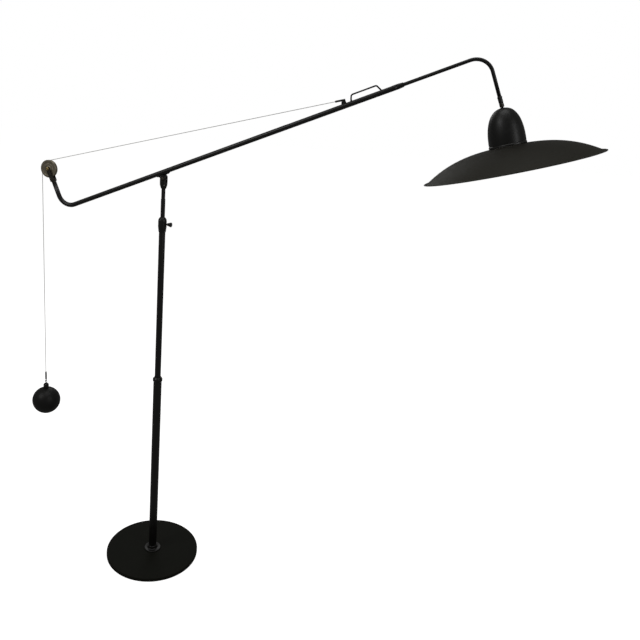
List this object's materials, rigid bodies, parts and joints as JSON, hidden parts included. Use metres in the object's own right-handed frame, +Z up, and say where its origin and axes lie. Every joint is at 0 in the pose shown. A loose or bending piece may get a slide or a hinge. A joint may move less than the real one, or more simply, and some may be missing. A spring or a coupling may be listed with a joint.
{
  "type": "floor lamp",
  "caption": "Counterbalanced pharmacy floor lamp: telescopic mast on a round base, tilting and sliding arm with pulley, cord and ball weight, and a wide tilting shade.",
  "frame": {"origin": "centre of the underside of the base's felt, on the floor", "axes": "+Z up the mast; +X from the mast towards the shade, in the plane of the arm; +Y to the far side of the arm"},
  "size_m": [1.8482, 0.4954, 1.889],
  "materials": {
    "black_lacquer": "satin",
    "cast_black": "matte",
    "shade_olive_black": "satin",
    "bright_steel": "satin",
    "dark_steel": "satin",
    "wheel_alloy": "satin",
    "cap_alloy": "satin",
    "brass": "satin",
    "felt": "matte",
    "cord": "matte",
    "rubber": "matte",
    "holder_plastic": "matte",
    "opal_glass": "gloss"
  },
  "bodies": {
    "stand": {"base_felt": "felt", "base_plate": "cast_black", "base_bolt": "bright_steel", "base_washer": "bright_steel", "tube_plug": "bright_steel", "base_flange": "black_lacquer", "cable_grommet": "rubber", "lower_tube": "black_lacquer", "reducer_ring": "black_lacquer", "middle_tube": "black_lacquer", "upper_collar": "black_lacquer"},
    "clamp": {"clamp_screw": "black_lacquer"},
    "mast": {"mast_rod": "black_lacquer", "rod_bush": "brass"},
    "head": {"head_fork": "black_lacquer", "head_set_screw": "bright_steel", "pivot_bolt": "dark_steel", "pivot_nut": "dark_steel", "pivot_washer_front": "dark_steel", "pivot_washer_back": "dark_steel"},
    "arm": {"arm_tube": "black_lacquer", "arm_saddle": "black_lacquer", "arm_nose": "black_lacquer", "pulley_fork": "dark_steel", "pulley_axle": "brass", "axle_nut": "brass", "cord_wrap": "cord"},
    "carriage": {"front_tube": "black_lacquer", "glide_bush": "brass", "pull_handle": "black_lacquer", "cord_anchor": "black_lacquer", "cord_run": "cord", "leg_ferrule": "black_lacquer"},
    "pulley": {"pulley_wheel": "wheel_alloy", "pulley_bush": "brass"},
    "hanger": {"cord_drop": "cord"},
    "weight": {"cord_loop": "bright_steel", "cord_sleeve": "rubber", "ball_eye": "bright_steel", "ball_cap": "black_lacquer", "counterweight_ball": "cast_black"},
    "swivel": {"swivel_cup": "dark_steel"},
    "shade": {"ball_stud": "black_lacquer", "stem_nut": "bright_steel", "shade_dome": "black_lacquer", "shade_ring": "black_lacquer", "shade_reflector": "shade_olive_black", "lamp_holder": "holder_plastic", "socket_shell": "brass", "centre_contact": "brass", "bulb_cap": "cap_alloy", "bulb_glass": "opal_glass"}
  },
  "joints": [
    {"name": "clamp_turn", "type": "hinge", "parent": "stand", "child": "clamp", "pos_m": [0.0145, 0, 1.3056], "axis": [1, 0, 0], "range_deg": [0, 540]},
    {"name": "mast_height", "type": "slide", "parent": "stand", "child": "mast", "axis": [0, 0, 1], "range_m": [-0.09, 0.3]},
    {"name": "arm_swivel", "type": "hinge", "parent": "mast", "child": "head", "pos_m": [0, 0, 1.4266], "axis": [0, 0, 1], "range_deg": [-180, 180]},
    {"name": "arm_tilt", "type": "hinge", "parent": "head", "child": "arm", "pos_m": [0, 0, 1.4598], "axis": [0, -1, 0], "range_deg": [-32, 30]},
    {"name": "reach", "type": "slide", "parent": "arm", "child": "carriage", "axis": [0.9198, 0, 0.3923], "range_m": [-0.175, 0.025], "deforming": ["cord_run"]},
    {"name": "pulley_spin", "type": "hinge", "parent": "arm", "child": "pulley", "pos_m": [-0.44376, 0, 1.45251], "axis": [0, 1, 0], "range_deg": [-360, 60]},
    {"name": "cord_hang", "type": "hinge", "parent": "arm", "child": "hanger", "pos_m": [-0.44376, 0, 1.45251], "axis": [0, -1, 0], "range_deg": [-31, 33], "deforming": ["cord_wrap"]},
    {"name": "weight_lift", "type": "slide", "parent": "hanger", "child": "weight", "axis": [0, 0, 1], "range_m": [-0.18, 0.03], "deforming": ["cord_drop"]},
    {"name": "shade_swivel", "type": "hinge", "parent": "carriage", "child": "swivel", "pos_m": [1.03616, 0, 1.76151], "axis": [0.3923, 0, -0.9198], "range_deg": [-180, 180]},
    {"name": "shade_tilt", "type": "hinge", "parent": "swivel", "child": "shade", "pos_m": [1.03616, 0, 1.76151], "axis": [0, -1, 0], "range_deg": [-19, 31]}
  ],
  "couplings": [
    {"joint": "pulley_spin", "follows": "reach", "rad_per_m": 35.3},
    {"joint": "weight_lift", "follows": "reach", "ratio": 0.99},
    {"joint": "cord_hang", "follows": "arm_tilt", "ratio": -1}
  ]
}
